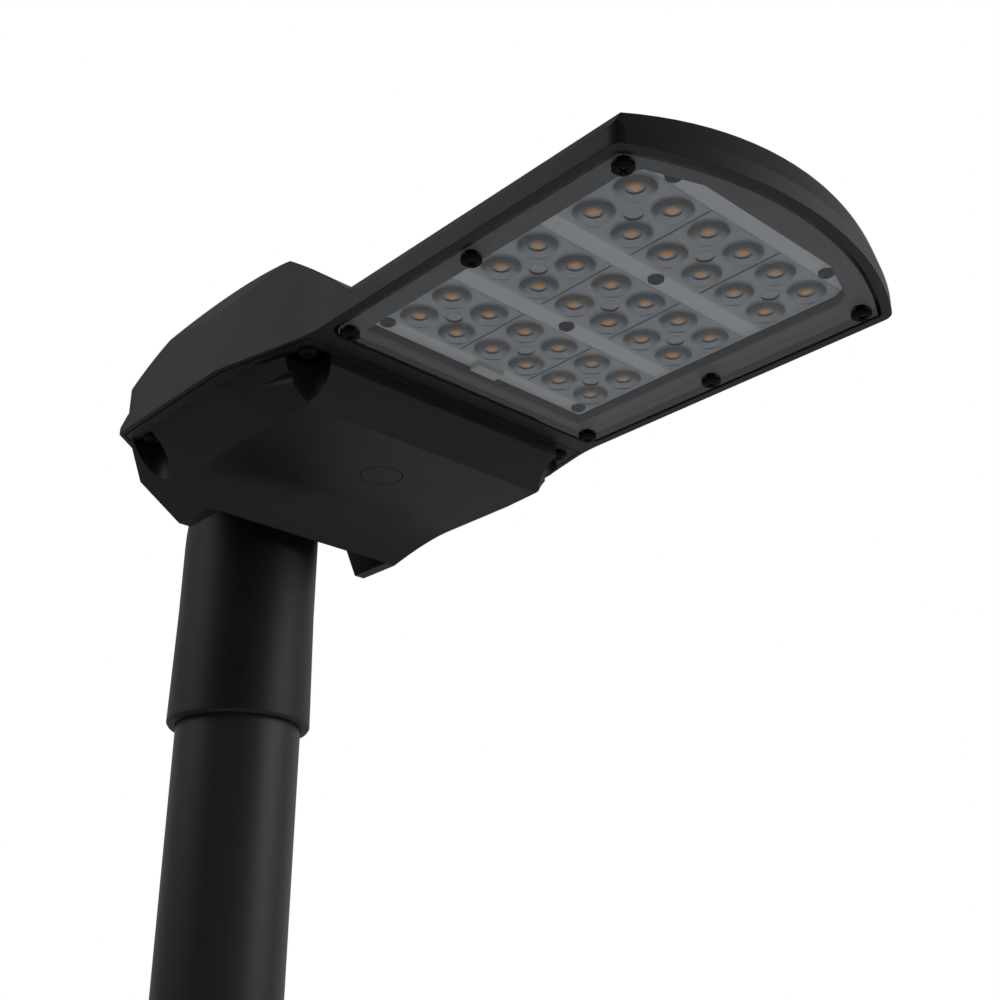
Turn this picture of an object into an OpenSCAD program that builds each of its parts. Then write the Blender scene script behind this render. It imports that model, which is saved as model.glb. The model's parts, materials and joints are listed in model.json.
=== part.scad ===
// Post-top LED street light: a die-cast head with a clear-covered lens panel and a faceted
// gear housing, tilting on the knuckle of a spigot that sleeves the top of a round pole.
// Head parts are drawn in the head frame: z = 0 is the rim plane that faces the road, the
// pole's axis is x = y = 0 and the nose points to -y. at_head() lifts them to their height.

/* [Pole and spigot] */
// Outside diameter of the pole top
pole_d = 76; // [60:1:76]
// Wall of the pole tube
pole_wall = 4; // [3:0.5:5]
// Height of pole left below the sleeve
stub_h = 195; // [120:5:260]
// Length of pole held in the sleeve
grip_h = 62; // [50:1:64]
// Clearance between pole and sleeve, on the radius
pole_gap = 0.3; // [0.2:0.05:0.5]
// Wall of the sleeve at its mouth
sleeve_wall = 5.3; // [4:0.1:6]
// Radius lost by the sleeve from mouth to shoulder
sleeve_draft = 1.3; // [0.5:0.1:2]
// Height of the sleeve from mouth to front shoulder
sleeve_h = 118; // [112:1:122]

/* [Tilt knuckle] */
// Height of the pivot above the sleeve mouth
pivot_rise = 156; // [152:1:160]
// Distance of the pivot in front of the pole axis
pivot_fwd = 14; // [11:1:16]
// Radius of the knuckle barrel
knuckle_r = 24; // [21:1:25]
// Width of the knuckle barrel
knuckle_w = 60; // [52:1:62]
// Diameter of the pivot bolt
pivot_d = 10; // [8:1:12]
// Running clearance of the pivot bolt, on the radius
pivot_gap = 0.05; // [0.02:0.01:0.1]
// Distance from pivot to lock bolt
lock_r = 16; // [15:0.5:17]
// Diameter of the lock bolt
lock_d = 6; // [5:1:6]
// Most upward tilt of the head
tilt_max = 15; // [5:1:20]
// Thickness of each pivot lug
lug_t = 12; // [8:1:14]
// Side clearance between barrel and lug
lug_gap = 0.3; // [0.2:0.1:0.6]
// Height of the pivot above the rim plane
pivot_up = 4; // [2:1:6]

/* [Housing outline] */
// Distance from pole axis to nose tip
nose_reach = 444.5; // [438:0.5:450]
// Plan radius of the nose
nose_r = 210.7; // [190:0.1:240]
// Width over the lens panel
panel_w = 205; // [203:1:210]
// Width over the gear housing
gear_w = 234; // [230:1:240]
// Where the flare from panel to gear housing starts
flare_start = 203; // [200:1:206]
// Where the flare ends
flare_end = 136.5; // [130:0.5:142]
// Where the rear corner facet starts
tail_corner = 31; // [26:1:36]
// Distance from pole axis to the tail edge
tail_reach = 22; // [18:1:26]
// Plan angle of the rear corner facet
tail_angle = 38; // [34:1:42]
// How far the dome stands inside the lip at the rear facets
tail_lip = 7; // [5:1:9]
// Height of the side wall over the lens panel
edge_h = 9.5; // [8:0.5:11]
// Height of the crowned back over the lens panel
back_h = 25; // [22:0.5:27]
// Wall of the casting
wall = 3.2; // [2.8:0.1:3.6]
// Height of the gear dome
dome_h = 81; // [79:1:85]
// Crown radius of the gear dome
dome_r = 240; // [230:1:250]
// Distance from pole axis to the dome's summit
dome_y = 140; // [134:1:146]
// Height of the crease where the flank turns over
crease_h = 36.5; // [34:0.5:40]

/* [Lens panel] */
// Width of the rim land round the clear cover
rim_w = 5; // [4.5:0.1:5.5]
// Gap between rim and clear cover
cover_gap = 1.9; // [1.5:0.1:2.2]
// Thickness of the clear cover
cover_t = 4; // [3:0.5:4.5]
// Distance from pole axis to the cover's rear edge
cover_back = 213; // [211:0.5:215]
// Thickness of the cover gasket
cover_seal_t = 1.5; // [1:0.1:1.8]
// Depth from rim plane to the board seat
seat_h = 11.8; // [11.5:0.1:13]
// Spacing of neighbouring light points
led_pitch = 25.4; // [24.6:0.1:25.6]
// Spacing of the bands of lens modules
band_pitch = 62; // [60:0.5:63]
// Distance from pole axis to the rearmost band
first_band = 257.4; // [256:0.2:259]
// Side of a lens module
module_side = 50; // [48:0.5:50.4]
// Radius of a lens dome
dome_lens_r = 10.2; // [9:0.1:11]
// Thickness of the circuit board
board_t = 1.6; // [1:0.1:2]
// Thickness of the thermal pad
pad_t = 0.5; // [0.3:0.1:0.8]
// Side of a light-emitting chip
chip_side = 4.6; // [3.5:0.1:5]

/* [Gear tray] */
// Gap between housing lip and gear tray
tray_gap = 0.8; // [0.5:0.1:1.2]
// Thickness of the tray flange
flange_t = 4; // [3.5:0.5:5]
// Width of the recess for the neck
recess_w = 125; // [122:1:128]
// Distance from pole axis to the recess front wall
recess_y = 61; // [59:1:63]
// Depth of the flat tray floor
tray_h = 25.2; // [23:0.1:28]
// Depth of the tray's rear edge
heel_h = 43.3; // [40:0.1:46]
// Radius of the sweep from floor to rear edge
sweep_r = 41; // [38:1:46]
// Radius of the scoops round the tray screws
scoop_r = 12; // [10:0.5:12.5]
// Radius of the blanking plug
plug_r = 12.3; // [10:0.1:14]

/* [Hidden] */
$fn = 64;

// Heights and places in the part's own frame
sleeve_r = pole_d / 2 + pole_gap + sleeve_wall;
neck_r = sleeve_r - sleeve_draft;
grip_z = stub_h + grip_h;
shoulder_z = stub_h + sleeve_h;
neck_z = shoulder_z - 45;
pivot_z = stub_h + pivot_rise;
head_h = pivot_z - pivot_up;
mouth_lip = 1.8;
neck_back = [10.4, shoulder_z + 15];
neck_room_r = pole_d / 2 - pole_wall - 2;
duct_r = 6;
duct_y = -30;
clamp_d = 8;
clamp_zs = [stub_h + 20, stub_h + 46];
clamp_pad_w = 18;
clamp_pad_t = 5;
lug_in = knuckle_w / 2 + lug_gap;
lug_out = lug_in + lug_t;
lug_r = pivot_d / 2 + 13;
hole_gap = 0.05;
screw_gap = 0.2;
lock_gap = 0.3;

// Places in the head frame
nose_cy = nose_r - nose_reach;
panel_x = panel_w / 2;
nose_side_y = nose_cy - sqrt(nose_r * nose_r - panel_x * panel_x);
gear_x = gear_w / 2;
land_w = 2.7;
flange_in = land_w + tray_gap;
seal_t = 1.2;
ledge_z = flange_t + seal_t;
ledge_w = 8.5;
ledge_top = ledge_z + 3;
lip_edge = 2.5;
lip_front = 183;
bevel_tilt = 27.1;
bevel_yaw = 3.2;
brow_r = 323;
brow_y = 10;
brow_z = -219.5;
crown_r = 620;
edge_tilt = 28;
nose_top_in = 4.2;
bulkhead_y = 196.5;
cover_in = rim_w + cover_gap;
cover_top = cover_t + cover_seal_t;
board_z = seat_h - pad_t - board_t;
chip_t = 0.6;
lens_plate_t = 1.4;
lens_tip_z = cover_t + 0.2;
socket_t = 3.4;
seat_x = panel_x - 23;
seat_back = cover_back + 7;
cover_screws_at = [for (y = [nose_side_y + 8.9, (nose_side_y - cover_back) / 2 + 3, -cover_back - 5.5])
    [panel_x - 14.5, y]];
cover_screw_d = 5;
film_gap = 0.1;
sheet_in = 0.6;
sheet_step_in = 13.5;
sheet_step = 0.4;
board_screws_at = concat([for (s = [-1, 1]) [s * (seat_x - 22.5), nose_side_y + 6.9]],
    [for (n = [0.5, 1.5]) [0, -first_band - n * band_pitch]],
    [for (s = [-1, 1]) [s * (seat_x - 8.5), -seat_back - 8]]);
board_screw_d = 3;
tray_screws_at = [[flank_x(189) - 12.5, -189], [gear_x - 17, -41]];
tray_screw_d = 5;
recess_x = recess_w / 2;
tray_front = 199;
tray_rear = 9;
tray_tier = 9;
tray_skin = 3;
tray_step = 3;
tray_shelf = 11;
slant = 41.5;
facet_y = 151.3;
facet_yaw = 3.8;
facet_tilt = 39.1;
floor_x = 86;
floor_front = 178.7;
floor_back = 95;
heel_y = 28.5;
plug_y = 134.5;
plug_stem_r = 8;
plug_seat = 1.6;
plug_ring = 0.4;
plate_z = 30;
plate_t = 1.5;
plate_x = 82;
plate_ys = [-182, -72];
posts_at = [for (y = [plate_ys[0] + 10, plate_ys[1] - 12]) [plate_x - 8, y]];
driver_l = 120;
driver_w = 56;
driver_h = 32;
foot_t = 3;
foot_reach = 9;
surge_h = 24;
terminal_h = 16;
terminal_pitch = 7.5;
clamp_h = 15;
plate_screw_d = 4;
earth_at = [20, -80];
earth_screw_d = 5;
gland_x = 52;
gland_z = 22;
gland_r = 6;
grommet_x = 20;
grommet_z = 8.7;
grommet_r = 2.8;
far = 600;

// Half width of the gear housing's flare at the distance y in front of the pole
function flank_x(y) = panel_x + (gear_x - panel_x) * (flare_start - y) / (flare_start - flare_end);
function unit(v) = v / norm(v);
function cross2(a, b) = a[0] * b[1] - a[1] * b[0];
// Where the line through p along d meets the line through q along e
function meet(p, d, q, e) = p + d * cross2(q - p, e) / cross2(d, e);
// Point p moved square to the direction d, towards the left of d
function left_of(p, d, t) = p + t * [-d[1], d[0]] / norm(d);
// A corner p softened between the directions d and e over the length s on each side
function soft(p, d, e, s, n = 6) = [for (i = [0:n]) let (u = i / n)
    (1 - u) * (1 - u) * (p - s * unit(d)) + 2 * u * (1 - u) * p + u * u * (p + s * unit(e))];
function arc(c, r, a, b, n) = [for (i = [0:n]) let (u = a + (b - a) * i / n)
    [c[0] + r * cos(u), c[1] + r * sin(u)]];
function mirrored(h) = [for (i = [len(h) - 1:-1:0]) if (h[i][0] > 0.01) [-h[i][0], h[i][1]]];

// Right half of the nose, inset by t, from the tip to the side
function nose_half(t) =
    let (r = max(8 - t, 2),
        c = [panel_x - t - r, nose_cy - sqrt(pow(nose_r - t - r, 2) - pow(panel_x - t - r, 2))],
        a = atan2(c[1] - nose_cy, c[0]))
    concat(arc([0, nose_cy], nose_r - t, -90, a, 20), arc(c, r, a + 6, 0, 6));
// Right half of the head's outline, inset by t, and by tail more round the rear
function head_half(t, tail) =
    let (ahead = [0, 1],
        flare = [gear_x - panel_x, flare_start - flare_end],
        facet = [-cos(tail_angle), sin(tail_angle)],
        flare_at = left_of([panel_x, -flare_start], flare, t),
        facet_at = left_of([gear_x, -tail_corner], facet, t + tail),
        waist = meet([panel_x - t, 0], ahead, flare_at, flare),
        hip = meet(flare_at, flare, [gear_x - t, 0], ahead),
        corner = meet([gear_x - t, 0], ahead, facet_at, facet),
        stern = meet(facet_at, facet, [0, tail_reach - t - tail], [-1, 0]))
    concat(nose_half(t), soft(waist, ahead, flare, 11), [hip], soft(corner, ahead, facet, 2, 3),
        soft(stern, facet, [-1, 0], 12));
// Right half of the lens panel, inset by t, with a squared rear edge
function panel_half(t, back, r) =
    concat(nose_half(t), arc([panel_x - t - r, -back - r], r, 0, 90, 6));
function seat_half(t) = [[seat_x - 32.5, nose_side_y + t - 2.1],
    [seat_x - 4 - 0.5 * t, nose_side_y + 0.9 * t + 8.6], [seat_x - t, nose_side_y + 16.9],
    [seat_x - t, -seat_back - t]];

module prism(half, z0, z1) translate([0, 0, z0]) linear_extrude(z1 - z0)
    polygon(concat(half, mirrored(half)));
module both_sides() {
    children();
    mirror([1, 0, 0]) children();
}
// Runs a y-z outline along x, or an x-z outline along y
module along_x(w) rotate([90, 0, 90]) linear_extrude(w, center = true) children();
module along_y(w) rotate([90, 0, 0]) linear_extrude(w, center = true) children();
// Everything outside the plane through p that faces yaw in plan and tilts up from level
module beyond(p, yaw, tilt) translate(p) rotate([0, -tilt, yaw]) translate([0, -far, -far])
    cube([far, 2 * far, 2 * far]);
module at_head() translate([0, 0, head_h]) children();
module at_pivot() translate([0, -pivot_fwd, pivot_up]) children();
module at_lock() at_pivot() translate([0, 0, lock_r]) children();
module cross_rod(r, l, n = $fn) rotate([0, 90, 0]) cylinder(r = r, h = l, center = true, $fn = n);
module recess_block(t, z0, z1) translate([-recess_x - t, -recess_y - t, z0])
    cube([recess_w + 2 * t, recess_y + t + 80, z1 - z0]);
// A pan-headed screw that points up, with a cross in its head
module pan_screw(d, head_r, head_t, reach) {
    cylinder(d = d, h = reach, $fn = 24);
    difference() {
        translate([0, 0, -head_t]) union() {
            cylinder(r1 = head_r * 0.72, r2 = head_r, h = head_t * 0.45, $fn = 32);
            translate([0, 0, head_t * 0.45]) cylinder(r = head_r, h = head_t * 0.55, $fn = 32);
        }
        for (a = [0, 90]) rotate([0, 0, a]) translate([-head_r * 0.5, -head_r * 0.11, -head_t - 1])
            cube([head_r, head_r * 0.22, 1 + head_t * 0.6]);
    }
}

module pole() color([0.13, 0.14, 0.15]) difference() {
    cylinder(d = pole_d, h = grip_z);
    translate([0, 0, -1]) cylinder(d = pole_d - 2 * pole_wall, h = grip_z + 2);
}

// Side view of the neck: short front slope up to the barrel and a long slope down the rear
function neck_profile() =
    let (top = pivot_z - 6, foot = neck_z - 2)
    concat([[-neck_r - 5, foot], [-neck_r - 5, shoulder_z - 5], [3 - pivot_fwd - knuckle_r, top],
        [neck_back[0] - 3.4, top]],
        soft(neck_back, [3.4, neck_back[1] - top], [neck_r + 2 - neck_back[0], foot - neck_back[1]], 7),
        [[neck_r + 2, foot]]);
// Front view of the neck: full width up to the shoulders under the lugs, then the barrel's width
function neck_front() = let (w = neck_r + 1, k = knuckle_w / 2, z = pivot_z - lug_r - 5)
    [[-w, neck_z - 2], [w, neck_z - 2], [w, z], [k, z + 3], [k, pivot_z], [-k, pivot_z],
        [-k, z + 3], [-w, z]];

module spigot() color([0.09, 0.095, 0.105]) difference() {
    union() {
        translate([0, 0, stub_h]) cylinder(r1 = sleeve_r - 1.2, r2 = sleeve_r, h = mouth_lip);
        translate([0, 0, stub_h + mouth_lip])
            cylinder(r1 = sleeve_r, r2 = neck_r, h = neck_z - stub_h - mouth_lip);
        intersection() {
            translate([0, 0, neck_z]) cylinder(r = neck_r, h = 2 * neck_r);
            along_x(2 * neck_r + 4) polygon(neck_profile());
            along_y(2 * neck_r + 4) polygon(neck_front());
        }
        at_head() at_pivot() cross_rod(knuckle_r, knuckle_w);
        intersection() {
            translate([-clamp_pad_w / 2, 0, clamp_zs[0] - 11])
                cube([clamp_pad_w, far, clamp_zs[1] - clamp_zs[0] + 22]);
            translate([0, 0, stub_h]) cylinder(r = sleeve_r + clamp_pad_t, h = 80);
        }
    }
    translate([0, 0, stub_h - 1]) cylinder(r = pole_d / 2 + pole_gap, h = grip_h + 1);
    translate([0, 0, grip_z - 1]) cylinder(r = neck_room_r, h = 22);
    translate([0, 0, grip_z + 21]) cylinder(r1 = neck_room_r, r2 = neck_room_r / 2, h = 24);
    translate([0, duct_y, grip_z]) cylinder(r = duct_r, h = far);
    at_head() at_pivot() cross_rod(pivot_d / 2 + pivot_gap, knuckle_w + 2);
    at_head() at_lock() cross_rod(lock_d / 2 + hole_gap, knuckle_w + 2);
    for (z = clamp_zs) translate([0, 0, z]) rotate([-90, 0, 0])
        cylinder(r = clamp_d / 2 + hole_gap, h = far);
}

module clamp_screws() color([0.55, 0.56, 0.58]) for (z = clamp_zs)
    translate([0, pole_d / 2, z]) rotate([-90, 0, 0]) difference() {
        cylinder(d = clamp_d, h = sleeve_r + 4 - pole_d / 2);
        translate([0, 0, sleeve_wall + 1]) cylinder(r = clamp_d / 4, h = 9, $fn = 6);
    }

// A hex-headed bolt along x with its head at the left, and a nut whose face is at x
module cross_bolt(d, x0, x1, head_t, head_r) {
    translate([(x0 + x1) / 2, 0, 0]) cross_rod(d / 2, x1 - x0);
    translate([x0 - head_t, 0, 0]) rotate([0, 90, 0]) cylinder(r = head_r, h = head_t, $fn = 6);
}
module cross_nut(d, x, t, r) translate([x + t / 2, 0, 0]) difference() {
    rotate([0, 90, 0]) cylinder(r = r, h = t, center = true, $fn = 6);
    cross_rod(d / 2 + hole_gap, t + 2);
}
module lock_bolt() color([0.6, 0.61, 0.63]) at_head() at_lock()
    cross_bolt(lock_d, -lug_out - lock_gap, lug_out + 8, 4, lock_d * 0.95);
module lock_nut() color([0.6, 0.61, 0.63]) at_head() at_lock()
    cross_nut(lock_d, lug_out + lock_gap, 5, lock_d * 0.95);
module pivot_bolt() color([0.6, 0.61, 0.63]) at_head() at_pivot()
    cross_bolt(pivot_d, -lug_out, lug_out + 11, 6.4, pivot_d * 0.97);
module pivot_nut() color([0.6, 0.61, 0.63]) at_head() at_pivot()
    cross_nut(pivot_d, lug_out, 8, pivot_d * 0.97);

// The crowned slab over the lens panel
module slab() intersection() {
    difference() {
        prism(head_half(0, tail_lip), 0, back_h + 2);
        both_sides() beyond([panel_x, 0, edge_h], 0, edge_tilt);
        beyond([0, 30 - bulkhead_y, 0], 90, 0);
    }
    translate([0, -nose_reach / 2, back_h - crown_r]) rotate([90, 0, 0])
        cylinder(r = crown_r, h = 2 * far, center = true, $fn = 360);
    translate([0, nose_cy, 0]) rotate_extrude($fn = 128)
        polygon([[0, -1], [nose_r + 1, -1], [nose_r + 1, edge_h - 3.8],
            [nose_r - nose_top_in, back_h + 0.6], [nose_r - 6, back_h + 4], [0, back_h + 4]]);
}
// The gear dome as a solid from z0 up, inset by t all round for its inside
module dome(t, z0) difference() {
    intersection() {
        prism(head_half(t, tail_lip), z0, dome_h);
        translate([0, -dome_y, dome_h - dome_r]) sphere(r = dome_r - t, $fn = 128);
        translate([0, -brow_y, brow_z]) cross_rod(brow_r - t, gear_w + 10, 256);
    }
    both_sides() beyond([gear_x - t * cos(bevel_tilt), -flare_end, crease_h - t * sin(bevel_tilt)],
        -bevel_yaw, bevel_tilt);
}
// The lip round the gear end, ramped down to a thin edge at the rear facets
module lip() difference() {
    prism(head_half(0, 0), 0, lip_edge + tail_lip);
    both_sides() beyond([gear_x, -tail_corner, lip_edge], 90 - tail_angle, 45);
    beyond([0, tail_reach, lip_edge], 90, 45);
    beyond([0, -lip_front, 0], -90, 0);
}
// Room for the tray inside the lip, inset by t all round and by side more at the outer walls
module tray_zone(t, z0, z1, side = 0) difference() {
    intersection() {
        prism(head_half(flange_in + side + t, -side), z0, z1);
        translate([-far, t - tray_front, z0]) cube([2 * far, tray_front - tray_rear - 2 * t, z1 - z0]);
    }
    recess_block(t, z0 - 1, z1 + 1);
}
module gear_room() {
    difference() {
        dome(wall, ledge_top);
        recess_block(wall, 0, dome_h);
        beyond([0, -bulkhead_y, 0], -90, 0);
    }
    tray_zone(ledge_w, -1, ledge_top + 1);
    intersection() {
        prism(head_half(land_w, 0), -1, ledge_z);
        translate([-far, -tray_front - tray_gap, -1])
            cube([2 * far, tray_front - tray_rear + 2 * tray_gap, ledge_z + 1]);
    }
    intersection() {
        recess_block(0, -1, dome_h);
        dome(wall, -2);
    }
}
module lugs() intersection() {
    dome(wall / 2, -lug_r);
    both_sides() translate([(lug_in + lug_out) / 2, 0, 0]) union() {
        at_pivot() cross_rod(lug_r, lug_t);
        translate([-lug_t / 2, -pivot_fwd - lug_r * 0.96, pivot_up + 4])
            cube([lug_t, lug_r * 1.92, dome_h]);
        translate([-lug_t / 2, -recess_y - 1, gland_z + 6]) cube([lug_t, recess_y, dome_h]);
    }
}
module bosses() intersection() {
    dome(wall / 2, 0);
    both_sides() union() {
        for (p = posts_at) translate([p[0], p[1], plate_z + plate_t]) cylinder(r = 5, h = dome_h);
        for (p = tray_screws_at) translate([p[0], p[1], ledge_z]) cylinder(r = 6, h = 14);
    }
}
module lock_slot() at_pivot() rotate([90, 0, 90]) {
    rotate([0, 0, 90]) rotate_extrude(angle = tilt_max)
        translate([lock_r - lock_d / 2 - lock_gap + 0.05, -lug_out - 1])
            square([lock_d + 2 * lock_gap - 0.1, 2 * lug_out + 2]);
    for (a = [0, tilt_max]) rotate([0, 0, 90 + a]) translate([lock_r, 0, 0])
        cylinder(r = lock_d / 2 + lock_gap, h = 2 * lug_out + 2, center = true);
}

module housing() color([0.1, 0.105, 0.115]) at_head() difference() {
    union() {
        difference() {
            union() {
                slab();
                dome(0, 0);
                lip();
            }
            gear_room();
        }
        lugs();
        bosses();
    }
    prism(panel_half(rim_w, cover_back - cover_gap, 9), -1, cover_top);
    prism(seat_half(0), 0, seat_h);
    at_pivot() cross_rod(pivot_d / 2 + pivot_gap, 2 * lug_out + 2);
    lock_slot();
    both_sides() union() {
        for (p = cover_screws_at) translate([p[0], p[1], 0])
            cylinder(r = cover_screw_d / 2 + hole_gap, h = cover_top + 6, $fn = 24);
        for (p = tray_screws_at) translate([p[0], p[1], 0])
            cylinder(r = tray_screw_d / 2 + hole_gap, h = ledge_z + 11, $fn = 24);
        for (p = posts_at) translate([p[0], p[1], 0])
            cylinder(r = plate_screw_d / 2 + hole_gap, h = plate_z + plate_t + 10, $fn = 24);
    }
    for (p = board_screws_at) translate([p[0], p[1], 0])
        cylinder(r = board_screw_d / 2 + hole_gap, h = seat_h + 2.5, $fn = 24);
    for (s = [-1, 1]) translate([s * gland_x, -recess_y - wall - 1, gland_z]) rotate([-90, 0, 0])
        cylinder(r = gland_r + hole_gap, h = wall + 2);
    translate([grommet_x, -seat_back - 1, grommet_z]) rotate([-90, 0, 0])
        cylinder(r = grommet_r + hole_gap, h = seat_back - bulkhead_y + 8);
}

module clear_cover() color([0.8, 0.84, 0.88, 0.35]) at_head() difference() {
    prism(panel_half(cover_in, cover_back, 8), 0, cover_t);
    cover_holes();
}
module cover_holes() both_sides() for (p = cover_screws_at) translate([p[0], p[1], -1])
    cylinder(r = cover_screw_d / 2 + screw_gap, h = cover_top + 2, $fn = 24);
// A wide sheet over the whole ledge, stepped down along a line that passes round the screws
module cover_gasket() color([0.45, 0.46, 0.48]) at_head() difference() {
    prism(panel_half(cover_in + sheet_in, cover_back + sheet_in, 7), cover_t + film_gap, cover_top);
    prism(seat_half(0), 0, seat_h);
    difference() {
        prism(panel_half(sheet_step_in, cover_back + cover_in, 5), 0, cover_t + sheet_step);
        both_sides() for (p = cover_screws_at) translate([p[0], p[1], 0]) cylinder(r = 9.5, h = cover_top);
    }
    cover_holes();
}
module cover_screws() color([0.03, 0.03, 0.03]) at_head() both_sides()
    for (p = cover_screws_at) translate([p[0], p[1], 0]) pan_screw(cover_screw_d, 5.2, 2.8, cover_top + 5);

module thermal_pad() color([0.6, 0.62, 0.65]) at_head() difference() {
    prism(seat_half(1.4), seat_h - pad_t, seat_h);
    board_holes();
}
module board_holes() for (p = board_screws_at) translate([p[0], p[1], 0])
    cylinder(r = board_screw_d / 2 + screw_gap, h = 2 * seat_h, $fn = 24);
module led_board() color([0.92, 0.93, 0.94]) at_head() difference() {
    prism(seat_half(1), board_z, board_z + board_t);
    board_holes();
}
module at_module(i) translate([((i - 1) % 3 - 1) * 2 * led_pitch,
    -first_band - floor((i - 1) / 3) * band_pitch, 0]) children();
module at_lights() for (x = [-0.5, 0.5]) for (y = [-0.5, 0.5])
    translate([x * led_pitch, y * led_pitch, 0]) children();
module led_chips() color([0.95, 0.7, 0.25]) at_head() for (i = [1:9]) at_module(i) at_lights()
    translate([-chip_side / 2, -chip_side / 2, board_z - chip_t]) cube([chip_side, chip_side, chip_t]);

// One moulded block of four domes over four light points, with a rest pillar at its middle
module lens_module(i) color([0.85, 0.88, 0.92, 0.6]) at_head() at_module(i) difference() {
    plate_z0 = board_z - lens_plate_t;
    rise = plate_z0 - lens_tip_z;
    cap_r = (dome_lens_r * dome_lens_r + rise * rise) / (2 * rise);
    union() {
        translate([-module_side / 2, -module_side / 2, plate_z0])
            cube([module_side, module_side, lens_plate_t - film_gap]);
        at_lights() intersection() {
            translate([0, 0, lens_tip_z + cap_r]) sphere(r = cap_r, $fn = 96);
            translate([0, 0, 0]) cylinder(r = 2 * dome_lens_r, h = plate_z0 + 0.3);
        }
        translate([0, 0, plate_z0 - 1.2]) cylinder(r = 4.6, h = 2, $fn = 48);
    }
    at_lights() translate([0, 0, board_z - lens_plate_t * 0.75]) cylinder(r = chip_side, h = 5, $fn = 32);
}
module board_screws() color([0.72, 0.73, 0.75]) at_head() for (p = board_screws_at)
    translate([p[0], p[1], board_z]) pan_screw(board_screw_d, 4.1, 2, seat_h - board_z + 2);
module board_socket() color([0.9, 0.9, 0.87]) at_head()
    translate([0, -seat_back - 6.4, board_z - socket_t]) difference() {
        translate([-9, -3.8, 0]) cube([18, 7.6, socket_t]);
        for (x = [-5, 0, 5]) translate([x - 1.4, 1, 0.8]) cube([2.8, 4, 1.8]);
    }
module wire_grommet() color([0.06, 0.06, 0.06]) at_head()
    translate([grommet_x, -seat_back, grommet_z]) rotate([-90, 0, 0]) difference() {
        cylinder(r = grommet_r, h = seat_back - bulkhead_y);
        translate([0, 0, -1]) cylinder(r = grommet_r - 1.2, h = seat_back - bulkhead_y + 2);
    }

// Side view of the tray below its flange, inset by t, with the sweep down to the rear
function tray_profile(t) =
    let (heel_a = asin((sweep_r + tray_h - heel_h) / sweep_r))
    concat([[0.5 * t - floor_front, t - tray_h]],
        arc([-floor_back, -tray_h - sweep_r], sweep_r + t, 90, heel_a, 12),
        [[-heel_y - 0.4 * t, sin(heel_a) * (sweep_r + t) - tray_h - sweep_r],
        [-tray_rear - 2 - t, -tray_tier], [-tray_rear - t, 0], [-tray_rear - t, 9],
        [t - bulkhead_y, 9], [t - bulkhead_y, 0.6 * t - 7.5]]);
module tray_body(t) difference() {
    intersection() {
        union() {
            tray_zone(t, t - tray_tier, ledge_z, tray_step);
            tray_zone(t, -far / 6, t - tray_tier, tray_shelf);
        }
        along_x(2 * far) polygon(tray_profile(t));
    }
    both_sides() beyond([floor_x - t / cos(slant), 0, -tray_h], 0, -slant);
    both_sides() beyond([floor_x - t / cos(facet_tilt), -facet_y, -tray_h], -facet_yaw, -facet_tilt);
    both_sides() for (p = tray_screws_at) translate([p[0], p[1], -far / 6])
        cylinder(r = scoop_r + t, h = far / 6);
}
module gear_tray() color([0.1, 0.105, 0.115]) at_head() difference() {
    union() {
        tray_zone(0, 0, flange_t);
        intersection() {
            tray_body(0);
            translate([-far, -far, -far / 6]) cube([2 * far, 2 * far, far / 6 + 1]);
        }
    }
    tray_body(tray_skin);
    both_sides() for (p = tray_screws_at) translate([p[0], p[1], -1])
        cylinder(r = tray_screw_d / 2 + screw_gap, h = flange_t + 2, $fn = 24);
    translate([0, -plug_y, -tray_h - 1]) cylinder(r = plug_stem_r + hole_gap, h = tray_skin + 2);
    translate([0, -plug_y, -tray_h - 1]) cylinder(r = plug_r + plug_ring, h = plug_seat + 1);
}
module tray_gasket() color([0.2, 0.2, 0.21]) at_head() difference() {
    tray_zone(1, flange_t, ledge_z);
    tray_zone(5.5, flange_t - 1, ledge_z + 1);
}
module tray_screws() color([0.03, 0.03, 0.03]) at_head() both_sides()
    for (p = tray_screws_at) translate([p[0], p[1], 0]) pan_screw(tray_screw_d, 5.2, 2.8, ledge_z + 10);
module blanking_plug() color([0.1, 0.105, 0.115]) at_head() translate([0, -plug_y, -tray_h]) {
    cylinder(r = plug_r, h = plug_seat);
    cylinder(r = plug_stem_r, h = tray_skin + 4);
}

module gear_plate() color([0.75, 0.76, 0.77]) at_head() difference() {
    translate([-plate_x, plate_ys[0], plate_z]) cube([2 * plate_x, plate_ys[1] - plate_ys[0], plate_t]);
    both_sides() for (p = posts_at) translate([p[0], p[1], plate_z - 1])
        cylinder(r = plate_screw_d / 2 + screw_gap, h = plate_t + 2, $fn = 24);
    translate([earth_at[0], earth_at[1], plate_z - 1])
        cylinder(r = earth_screw_d / 2 + hole_gap, h = plate_t + 2, $fn = 24);
}
module plate_screws() color([0.6, 0.61, 0.63]) at_head() both_sides()
    for (p = posts_at) translate([p[0], p[1], plate_z]) pan_screw(plate_screw_d, 4, 2.4, plate_t + 9);
module driver() color([0.82, 0.83, 0.84]) at_head()
    translate([0, plate_ys[0] + driver_w / 2 + 5, plate_z]) difference() {
        union() {
            translate([-driver_l / 2, -driver_w / 2, -driver_h]) cube([driver_l, driver_w, driver_h]);
            translate([-driver_l / 2 - foot_reach, -driver_w / 2, -foot_t])
                cube([driver_l + 2 * foot_reach, driver_w, foot_t]);
        }
        both_sides() {
            for (y = [-20, 20]) translate([(driver_l + foot_reach) / 2 + 0.5, y, -foot_t - 1])
                cylinder(r = 2.2, h = foot_t + 2, $fn = 24);
            translate([driver_l / 2 - 5, -driver_w / 4, -driver_h + 6]) cube([10, driver_w / 2, 14]);
        }
    }
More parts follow.
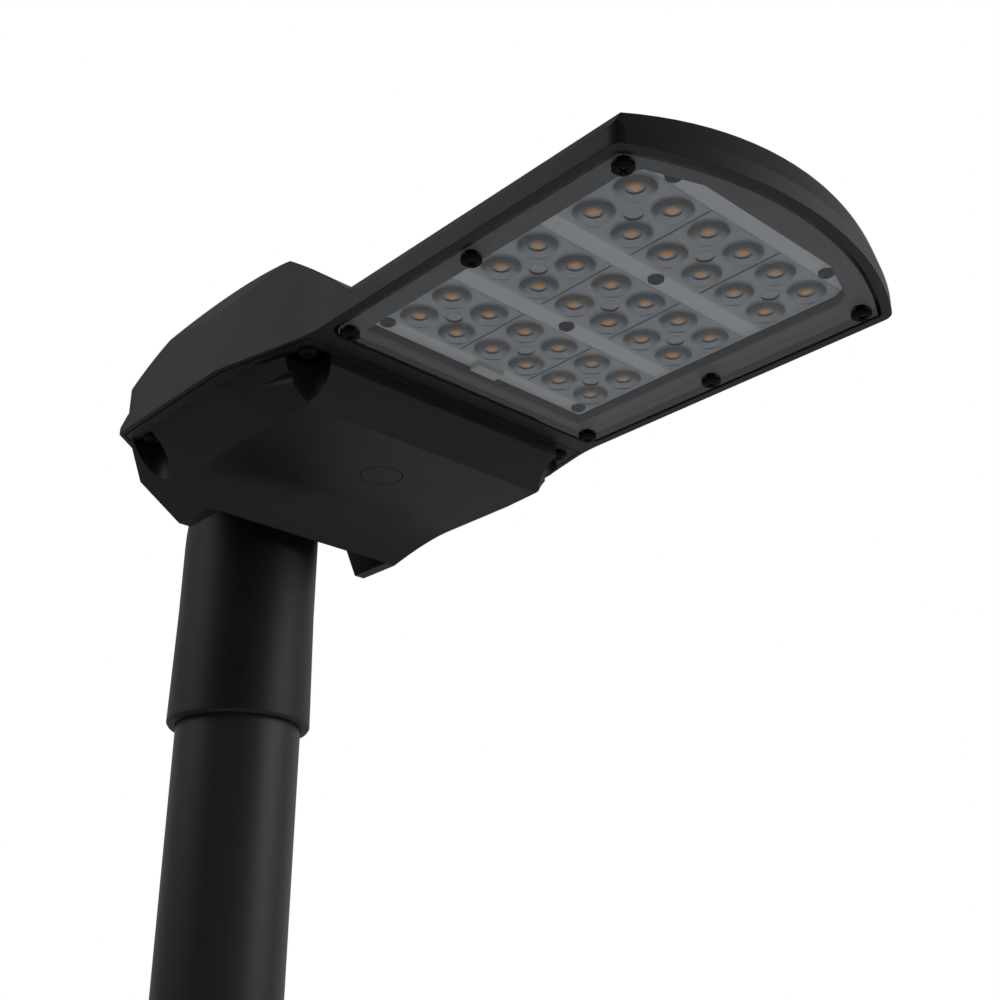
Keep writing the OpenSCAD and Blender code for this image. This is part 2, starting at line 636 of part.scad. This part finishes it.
module surge_protector() color([0.16, 0.17, 0.19]) at_head() translate([-46, plate_ys[1] - 24, plate_z])
    difference() {
        union() {
            translate([-17, -15, -surge_h]) cube([34, 30, surge_h]);
            translate([-22, -8, -foot_t]) cube([44, 16, foot_t]);
        }
        for (x = [-9, 9]) translate([x, 0, -surge_h - 1]) cylinder(r = 2.4, h = 6, $fn = 24);
    }
module terminal_block() color([0.9, 0.9, 0.86]) at_head() translate([13, plate_ys[1] - 30, plate_z])
    difference() {
        translate([-22, -9, -terminal_h]) cube([44, 18, terminal_h]);
        for (i = [-2:2]) translate([i * terminal_pitch, 0, -terminal_h]) {
            translate([0, 0, -1]) cylinder(r = 2, h = 6, $fn = 24);
            translate([-2, -10, 9]) cube([4, 20, 4]);
        }
    }
module cord_clamp() color([0.86, 0.86, 0.84]) at_head() translate([gland_x, plate_ys[1] - 10, plate_z])
    difference() {
        translate([-13, -5, -clamp_h]) cube([26, 10, clamp_h]);
        translate([0, 0, gland_z - plate_z]) rotate([90, 0, 0]) cylinder(r = 4, h = 12, center = true);
        for (x = [-9, 9]) translate([x, 0, -clamp_h - 1]) cylinder(r = 1.7, h = 9, $fn = 24);
    }
// Seated in the recess wall: a flange on the neck's side and a nut on the gear side
module wall_fitting(bore, head_l, head_n) rotate([90, 0, 0]) difference() {
    union() {
        cylinder(r = gland_r, h = wall + 6);
        translate([0, 0, -head_l]) cylinder(r = gland_r + 2.6, h = head_l, $fn = head_n);
        translate([0, 0, wall]) cylinder(r = gland_r + 2.4, h = 4, $fn = 6);
    }
    translate([0, 0, -head_l - 1]) cylinder(r = bore, h = wall + head_l + 8);
}
module cable_gland() color([0.05, 0.05, 0.055]) at_head()
    translate([gland_x, -recess_y, gland_z]) wall_fitting(3.6, 9, 6);
module breather_valve() color([0.05, 0.05, 0.055]) at_head()
    translate([-gland_x, -recess_y, gland_z]) wall_fitting(1.5, 4, 48);
module earth_screw() color([0.78, 0.62, 0.3]) at_head() translate([earth_at[0], earth_at[1], plate_z])
    pan_screw(earth_screw_d, 4.6, 3, plate_t + 7);

pole();
spigot();
clamp_screws();
lock_bolt();
lock_nut();
pivot_bolt();
pivot_nut();
housing();
clear_cover();
cover_gasket();
cover_screws();
thermal_pad();
led_board();
led_chips();
lens_module(1);  // lens_module_1
lens_module(2);  // lens_module_2
lens_module(3);  // lens_module_3
lens_module(4);  // lens_module_4
lens_module(5);  // lens_module_5
lens_module(6);  // lens_module_6
lens_module(7);  // lens_module_7
lens_module(8);  // lens_module_8
lens_module(9);  // lens_module_9
board_screws();
board_socket();
wire_grommet();
gear_tray();
tray_gasket();
tray_screws();
blanking_plug();
gear_plate();
plate_screws();
driver();
surge_protector();
terminal_block();
cord_clamp();
cable_gland();
breather_valve();
earth_screw();
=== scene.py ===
# %% [markdown]
# Post-top LED street light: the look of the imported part.
# The shape of every piece, the two bodies and the hinge that tilts the head come packed from the
# construction model, and nothing here moves them or changes their meshes. What is left for Blender
# is what the eye judges: a finish for every surface, plain studio light and the camera.

import json

import bpy
from mathutils import Matrix, Vector


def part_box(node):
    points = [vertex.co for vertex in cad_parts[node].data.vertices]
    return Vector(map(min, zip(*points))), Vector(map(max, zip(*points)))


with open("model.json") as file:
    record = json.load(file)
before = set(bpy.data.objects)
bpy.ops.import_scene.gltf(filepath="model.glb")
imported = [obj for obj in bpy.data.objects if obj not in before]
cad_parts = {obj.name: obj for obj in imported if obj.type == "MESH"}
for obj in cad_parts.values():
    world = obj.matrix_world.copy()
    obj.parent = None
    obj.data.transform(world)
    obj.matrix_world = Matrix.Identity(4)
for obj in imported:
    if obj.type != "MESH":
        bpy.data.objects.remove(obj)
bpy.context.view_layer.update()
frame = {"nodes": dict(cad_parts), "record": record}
nodes = frame["nodes"]

# %% [markdown]
# The lights aim at the middle of the head, and the floor lies below it. Both places could be typed
# in as numbers, but then they would stay behind when the model changes, so they are read from the
# boxes of two nodes: the housing, and the clear cover whose underside is the rim plane.

# %% Places read from the frame
rim_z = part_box("clear_cover")[0].z
head_low, head_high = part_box("housing")
head_middle = Vector((0.0, (head_low.y + head_high.y) / 2, rim_z))
print("rim plane", round(rim_z, 4), "nose", round(head_low.y, 4))

# %% [markdown]
# A material is a graph of nodes, and its sums are easier to read as sums. `Val` wraps one output
# socket and overloads the operators that the finishes use, with their reflected forms, so that
# `1.0 - mask * 0.5` adds its Math nodes by itself. `ramp` is a Map Range node with soft ends: it
# turns a value from low to high into a value from to_low to to_high.

# %% Values that do their own sums
class Val:
    def __init__(self, graph, socket):
        self.graph = graph
        self.socket = socket

    def math(self, operation, other=None):
        return self.graph.node("ShaderNodeMath", {"operation": operation}, {0: self, 1: other})

    def __add__(self, other):
        return self.math("ADD", other)

    def __mul__(self, other):
        return self.math("MULTIPLY", other)

    def __radd__(self, other):
        return self.math("ADD", other)

    def __rmul__(self, other):
        return self.math("MULTIPLY", other)

    def __rsub__(self, other):
        return (self * -1.0) + other

    def absolute(self):
        return self.math("ABSOLUTE")

    def ramp(self, low, high, to_low=0.0, to_high=1.0):
        return self.graph.node("ShaderNodeMapRange", {"interpolation_type": "SMOOTHSTEP"},
                               {"Value": self, "From Min": low, "From Max": high,
                                "To Min": to_low, "To Max": to_high}, "Result")


# %% [markdown]
# `Graph` holds the node tree of one material or of the world. Its method `node` adds any node: it
# sets the settings first, because some of them change which sockets there are, and then gives each
# socket a value or a link. The methods below it are the few nodes that come back in most finishes.
# Noise reads the object coordinates, which are metres in the part's own frame, so a scale is the
# number of blotches to the metre. `looks` collects one finished material for each material slot.

# %% A graph of nodes
UP = (0.0, 0.0, 1.0)
EVEN = (1.0, 1.0, 1.0)
MOST_OF_A_NOISE = (0.3, 0.7)


class Graph:
    def __init__(self, owner, output_kind="ShaderNodeOutputMaterial"):
        owner.use_nodes = True
        self.owner = owner
        self.tree = owner.node_tree
        self.tree.nodes.clear()
        self.out = self.tree.nodes.new(output_kind)

    def node(self, kind, settings=None, inputs=None, output=0):
        made = self.tree.nodes.new(kind)
        for key, value in (settings or {}).items():
            setattr(made, key, value)
        for key, value in (inputs or {}).items():
            if value is None:
                continue
            if isinstance(value, Val):
                self.tree.links.new(value.socket, made.inputs[key])
            else:
                made.inputs[key].default_value = value
        return Val(self, made.outputs[output])

    def noise(self, per_metre, detail=3.0, rough=0.5, stretch=EVEN):
        place = self.node("ShaderNodeTexCoord", output="Object")
        spot = self.node("ShaderNodeMapping", {}, {"Vector": place, "Scale": stretch})
        return self.node("ShaderNodeTexNoise", {}, {"Vector": spot, "Scale": per_metre,
                                                    "Detail": detail, "Roughness": rough}, "Fac")

    def shade(self, factor, dark, light):
        return self.node("ShaderNodeMix", {"data_type": "RGBA"}, {0: factor, 6: dark, 7: light}, 2)

    def mottle(self, grain, dark, light):
        return self.shade(grain.ramp(*MOST_OF_A_NOISE), dark, light)

    def bump(self, height, distance, strength=1.0, normal=None):
        return self.node("ShaderNodeBump", {}, {"Height": height, "Distance": distance,
                                                "Strength": strength, "Normal": normal})

    def soft_edge(self, radius):
        return self.node("ShaderNodeBevel", {"samples": 4}, {"Radius": radius})

    def dot(self, vector, direction):
        return self.node("ShaderNodeVectorMath", {"operation": "DOT_PRODUCT"},
                         {0: vector, 1: direction}, "Value")

    def light_path(self, kind):
        return self.node("ShaderNodeLightPath", output="Is %s Ray" % kind)

    def principled(self, inputs):
        return self.node("ShaderNodeBsdfPrincipled", {}, inputs)

    def mix(self, share, first, second):
        return self.node("ShaderNodeMixShader", {}, {0: share, 1: first, 2: second})

    def surface(self, shader):
        self.tree.links.new(shader.socket, self.out.inputs["Surface"])
        print(self.owner.name, "has", len(self.tree.nodes), "nodes")
        return self.owner


def finish(name):
    return Graph(bpy.data.materials.new(name))


def rgb(red, green, blue):
    return (red, green, blue, 1.0)


looks = {}

# %% [markdown]
# The castings are powder coated in a dark grey that leans to blue. Up close the coat has a fine
# orange peel, which is too small to model, so a noise of a millimetre feeds a Bump node. A second,
# wider noise mottles the colour and the roughness a little, as a sprayed coat does. Cast edges are
# never sharp, and the Bevel node bends the normals there, so that they catch a thin light without
# any change to the mesh.

# %% Powder coat on the castings
def powder_coat():
    m = finish("body_paint_look")
    blotches = m.noise(per_metre=38.0, detail=4.0, rough=0.55)
    peel = m.noise(per_metre=900.0, detail=2.0, rough=0.6)
    return m.surface(m.principled({
        "Base Color": m.mottle(blotches, rgb(0.0066, 0.0073, 0.0092), rgb(0.0088, 0.0096, 0.0118)),
        "Roughness": blotches * 0.1 + 0.46,
        "Specular IOR Level": 0.42,
        "Normal": m.bump(peel, distance=0.00006, strength=0.5, normal=m.soft_edge(0.0012))}))


looks["body_paint"] = powder_coat()

# %% [markdown]
# The pole is a drawn steel tube with a smoother and slightly lighter paint than the head. Its only
# pattern is what drawing leaves: faint streaks along the tube. They come from the same noise as a
# blotch, stretched to twenty times its height.

# %% Paint on the pole
def pole_paint():
    along_the_tube = (1.0, 1.0, 0.05)
    m = finish("pole_paint_look")
    streaks = m.noise(per_metre=60.0, stretch=along_the_tube)
    peel = m.noise(per_metre=500.0, detail=2.0)
    return m.surface(m.principled({
        "Base Color": m.mottle(streaks, rgb(0.019, 0.021, 0.023), rgb(0.024, 0.026, 0.028)),
        "Roughness": streaks * 0.12 + 0.4,
        "Specular IOR Level": 0.4,
        "Normal": m.bump(peel, distance=0.00004, strength=0.4, normal=m.soft_edge(0.0006))}))


looks["pole_paint"] = pole_paint()

# %% [markdown]
# The cover is a clear moulded plate. A refracting glass shader would be the obvious choice, but
# light that reaches the board through refracting pieces is noisy and dim. The plate is thin, so it
# hardly shifts what lies behind it: a Transparent shader shows that, and a mirror is laid over it
# in the share that Fresnel gives. Seen from below at a low angle, this mirror is the pale veil over
# the panel. It is switched off where a ray leaves the plate, because a ray that was never bent
# meets that face at too flat an angle, and the Fresnel node would make all of it a mirror.

# %% Clear cover over the panel
def clear_cover():
    m = finish("clear_cover_look")
    film = m.noise(per_metre=9.0, detail=2.0)
    through = m.node("ShaderNodeBsdfTransparent", {}, {"Color": rgb(0.93, 0.935, 0.94)})
    veil = m.node("ShaderNodeBsdfGlossy", {}, {"Color": rgb(0.95, 0.97, 1.0),
                                               "Roughness": film * 0.03 + 0.02})
    entering = 1.0 - m.node("ShaderNodeNewGeometry", output="Backfacing")
    veil_share = m.node("ShaderNodeFresnel", {}, {"IOR": 1.55}) * entering * 1.15
    return m.surface(m.mix(veil_share, through, veil))


looks["cover_glass"] = clear_cover()

# %% [markdown]
# Each lens block is clear acrylic with four domes, one over every chip. A real dome bends the view
# so that its near side shows the dark surroundings and its far side the white board: it reads as a
# bowl with a dark crescent. Tracing that through 36 domes would need many samples, so the crescent
# is painted shade: a dark share that depends on the face alone. It grows where a dome is steep, fades
# on upright walls, and lies on the dome's side that looks to the front left, a fixed direction.
# Inside a block the normal points back at the viewer, so it is turned outward again first.

# %% Clear lens blocks
def lens_block():
    near_side_direction = (-0.68, -0.73, 0.0)
    m = finish("lens_block_look")
    haze = m.noise(per_metre=120.0)
    normal = m.node("ShaderNodeNewGeometry", output="Normal")
    outward = 1.0 - 2.0 * m.node("ShaderNodeNewGeometry", output="Backfacing")
    level = m.dot(normal, UP).absolute()
    steep = level.ramp(0.8, 0.98, 1.0, 0.0)
    not_upright = level.ramp(0.1, 0.3, 0.15, 1.0)
    near_side = (outward * m.dot(normal, near_side_direction)).ramp(-0.25, 0.25, 0.1, 1.0)
    through = m.node("ShaderNodeBsdfTransparent", {}, {"Color": rgb(0.94, 0.95, 0.96)})
    # painted shade: a dark coat on the domes' steep near side stands in for the dark view through a bent
    # dome
    painted_crescent_shade = m.principled({
        "Base Color": m.mottle(haze, rgb(0.020, 0.021, 0.023), rgb(0.030, 0.031, 0.033)),
        "Roughness": haze * 0.1 + 0.12,
        "Specular IOR Level": 0.5})
    # share of the painted dark crescent on each face of the block
    painted_shade_share = steep * not_upright * near_side * 0.75 + 0.02
    return m.surface(m.mix(painted_shade_share, through, painted_crescent_shade))


looks["lens_acrylic"] = lens_block()

# %% [markdown]
# The board is coated with a white resist that is printed and baked on. It is slightly glossy and
# never quite even, so one noise drives its colour, roughness and a very shallow bump together.

# %% White resist on the board
def white_resist():
    m = finish("white_resist_look")
    patches = m.noise(per_metre=70.0)
    return m.surface(m.principled({
        "Base Color": m.mottle(patches, rgb(0.80, 0.82, 0.84), rgb(0.85, 0.87, 0.88)),
        "Roughness": patches * 0.1 + 0.35,
        "Normal": m.bump(patches, distance=0.00002)}))


looks["board_white"] = white_resist()

# %% [markdown]
# The chips are not lit, but their phosphor still shows orange through cover and dome. It is a
# powder set in silicone: a grain finer than a millimetre for the powder and a clear coat for the
# silicone. A weak emission of the same colour is painted light: the unlit chips glow a little, to
# make up for the light that the domes take away.

# %% Phosphor of the chips
def phosphor():
    m = finish("phosphor_look")
    powder = m.noise(per_metre=1500.0, detail=2.0, rough=0.6)
    colour = m.mottle(powder, rgb(0.80, 0.36, 0.12), rgb(0.95, 0.52, 0.2))
    return m.surface(m.principled({
        "Base Color": colour,
        "Roughness": powder * 0.1 + 0.3,
        "Coat Weight": 0.5,
        # painted light: a faint glow in the phosphor colour on chips that are not lit
        "Emission Color": colour,
        "Emission Strength": 0.25}))


looks["chip_phosphor"] = phosphor()

# %% [markdown]
# Seals, sheet, sockets, plugs and small cases are moulded, and the dark screws have the same matte
# skin. Each could have a material of its own, but they share one maker: a fine grain in colour,
# roughness and relief. They differ in their two shades, their roughness and how much they mirror.

# %% Moulded and matte finishes
def moulded(name, dark, light, rough, gloss=0.4):
    m = finish(name)
    grain = m.noise(per_metre=220.0, rough=0.55)
    return m.surface(m.principled({
        "Base Color": m.mottle(grain, dark, light),
        "Roughness": grain * 0.15 + rough,
        "Specular IOR Level": gloss,
        "Normal": m.bump(grain, distance=0.00004, strength=0.5, normal=m.soft_edge(0.0003))}))


moulded_slots = {
    "black_screw": dict(dark=rgb(0.006, 0.006, 0.007), light=rgb(0.01, 0.01, 0.011), rough=0.5, gloss=0.1),
    "screw_steel": dict(dark=rgb(0.042, 0.044, 0.047), light=rgb(0.05, 0.052, 0.055), rough=0.5, gloss=0.1),
    "seal_rubber": dict(dark=rgb(0.02, 0.02, 0.021), light=rgb(0.028, 0.028, 0.03), rough=0.6),
    "sheet_grey": dict(dark=rgb(0.095, 0.098, 0.103), light=rgb(0.11, 0.113, 0.118), rough=0.5),
    "pad_silicone": dict(dark=rgb(0.30, 0.32, 0.35), light=rgb(0.36, 0.38, 0.41), rough=0.6),
    "socket_plastic": dict(dark=rgb(0.66, 0.67, 0.64), light=rgb(0.72, 0.72, 0.69), rough=0.4),
    "plug_plastic": dict(dark=rgb(0.03, 0.031, 0.034), light=rgb(0.036, 0.037, 0.04), rough=0.45),
    "dark_plastic": dict(dark=rgb(0.03, 0.032, 0.036), light=rgb(0.036, 0.038, 0.042), rough=0.4),
}
for slot, values in moulded_slots.items():
    looks[slot] = moulded(slot + "_look", **values)

# %% [markdown]
# Bolts, gear plate, driver case and earth screw are bare metal. Rolled sheet has a grain that runs
# one way, so its noise is stretched along x, while turned parts keep an even grain.

# %% Bare metals
def metal(name, dark, light, rough, stretch=EVEN):
    m = finish(name)
    grain = m.noise(per_metre=400.0, rough=0.6, stretch=stretch)
    return m.surface(m.principled({
        "Base Color": m.mottle(grain, dark, light),
        "Metallic": 1.0,
        "Roughness": grain * 0.15 + rough,
        "Normal": m.bump(grain, distance=0.00002, strength=0.4, normal=m.soft_edge(0.0002))}))


rolled = (0.1, 1.0, 1.0)
metal_slots = {
    "bolt_steel": dict(dark=rgb(0.42, 0.43, 0.45), light=rgb(0.55, 0.56, 0.58), rough=0.28),
    "plate_steel": dict(dark=rgb(0.42, 0.43, 0.44), light=rgb(0.5, 0.51, 0.52), rough=0.35, stretch=rolled),
    "driver_case": dict(dark=rgb(0.5, 0.51, 0.52), light=rgb(0.58, 0.59, 0.6), rough=0.4, stretch=rolled),
    "earth_brass": dict(dark=rgb(0.58, 0.4, 0.13), light=rgb(0.66, 0.47, 0.17), rough=0.3),
}
for slot, values in metal_slots.items():
    looks[slot] = metal(slot + "_look", **values)

# %% [markdown]
# The record says which material slot each node takes its finish from. There is one finish for each
# slot, and every node gets its slot's finish in place of the plain colour that it was packed with.

# %% Give every node its finish
slot_of = {part["node"]: part["material_slot"] for part in frame["record"]["subparts"]}
for name, part in nodes.items():
    part.data.materials.clear()
    part.data.materials.append(looks[slot_of[name]])
print(len(looks), "finishes on", len(nodes), "nodes")

# %% [markdown]
# The floor is a pale disc well below the pole's cut end. Lit only by the soft light it would look
# grey, and more light would spoil the dark lamp, so part of what the camera sees of it is white
# emission. The rest stays an ordinary matte surface, which keeps the lamp's shadow.

# %% Floor
floor_radius = 1.1
floor_height = -0.6
white_share = 0.45


def floor_disc():
    bpy.ops.mesh.primitive_circle_add(vertices=96, radius=floor_radius, fill_type="NGON",
                                      location=(0.0, head_low.y / 2, floor_height))
    floor = bpy.context.object
    floor.name = "studio_floor"
    m = finish("studio_floor_look")
    patches = m.noise(per_metre=2.0, detail=2.0)
    matte = m.principled({
        "Base Color": m.shade(patches, rgb(0.78, 0.78, 0.78), rgb(0.82, 0.82, 0.82)),
        "Roughness": 0.8})
    white = m.node("ShaderNodeEmission", {}, {"Color": rgb(1.0, 1.0, 1.0), "Strength": 1.0})
    floor.data.materials.append(m.surface(m.mix(m.light_path("Camera") * white_share, matte, white)))


floor_disc()
print("floor disc of", floor_radius, "m radius at", floor_height, "m")

# %% [markdown]
# The world does three jobs, and the Light Path node keeps them apart. To the camera, and through
# clear pieces, it is plain white. What lights the matte surfaces is a soft sky, bright from above
# and dim from below, because the photograph's underside is dim. What the coats mirror is strongest
# behind the lamp, weaker below it and to the front right, and nearly dark on the camera's side:
# that gives the bright grazing edges and the dark front of the photograph. All three depend on the
# direction in the room alone, so they stay put when the camera moves.

# %% World
sky_above = 0.36
sky_below = 0.125
mirrored_behind = 0.4
mirrored_below = 0.28
mirrored_front_right = 0.28
mirrored_elsewhere = 0.03
behind_the_lamp = (0.5, 0.87, 0.0)
front_right = (0.8, -0.6, 0.0)


def studio_world():
    world = bpy.data.worlds.new("studio_world")
    bpy.context.scene.world = world
    g = Graph(world, "ShaderNodeOutputWorld")
    direction = g.node("ShaderNodeTexCoord", output="Generated")
    height = g.dot(direction, UP)
    sky = height.ramp(-0.25, 0.45, sky_below, sky_above)
    behind = g.dot(direction, behind_the_lamp).ramp(0.0, 0.8) \
        * height.ramp(-0.1, 0.2, mirrored_below, mirrored_behind)
    beside = g.dot(direction, front_right).ramp(0.0, 0.9, mirrored_elsewhere, mirrored_front_right)
    glossy = g.light_path("Glossy")
    lighting = glossy * (behind + beside) + (1.0 - glossy) * sky
    seen = g.light_path("Camera").math("MAXIMUM", g.light_path("Transmission"))
    strength = seen + (1.0 - seen) * lighting
    g.surface(g.node("ShaderNodeBackground", {}, {"Color": rgb(1.0, 1.0, 1.0), "Strength": strength}))


studio_world()
print("world: sky", sky_above, "above and", sky_below, "below")

# %% [markdown]
# Two soft boxes stand above the rim plane. The key, high at the left rear, draws the dome, the left
# walls and the pole's left edge. The fill, at the front right, draws the curve of the nose. Little
# of either reaches the side that faces the camera, as in the photograph.

# %% Soft boxes
def soft_box(name, place, side, watts):
    light = bpy.data.lights.new(name, "AREA")
    light.shape = "SQUARE"
    light.size = side
    light.energy = watts
    lamp = bpy.data.objects.new(name, light)
    bpy.context.scene.collection.objects.link(lamp)
    lamp.location = place
    lamp.rotation_euler = (head_middle - Vector(place)).to_track_quat("-Z", "Y").to_euler()
    print(name, watts, "W")


soft_box("key_left_rear", place=(-1.45, 0.65, 1.1), side=1.2, watts=5.5)
soft_box("fill_front_right", place=(1.1, -1.55, 0.7), side=1.0, watts=9.0)

# %% [markdown]
# A camera for a matched view could be placed by eye, but the panel's light points lie on one exact
# grid, so it was fitted to them: the place, the turn and the focal length below put each point
# where the photograph has it. The camera stands just below the pole's cut end and looks up.

# %% Camera of the photograph
focal_length_mm = 50.3
sensor_width_mm = 36.0
camera_place = Vector((-0.45616, -0.73042, -0.0188))
camera_right = Vector((0.73360, -0.67958, 0.00146))
camera_up = Vector((-0.27207, -0.29172, 0.91699))


def photo_camera():
    lens = bpy.data.cameras.new("photo_camera")
    lens.sensor_width = sensor_width_mm
    lens.lens = focal_length_mm
    camera = bpy.data.objects.new("photo_camera", lens)
    bpy.context.scene.collection.objects.link(camera)
    camera_back = camera_right.cross(camera_up)
    turn = Matrix((camera_right, camera_up, camera_back)).transposed()
    camera.matrix_world = Matrix.Translation(camera_place) @ turn.to_4x4()
    return camera


bpy.context.scene.camera = photo_camera()
bpy.context.scene.view_settings.view_transform = "Standard"
print("camera at", [round(value, 3) for value in camera_place])
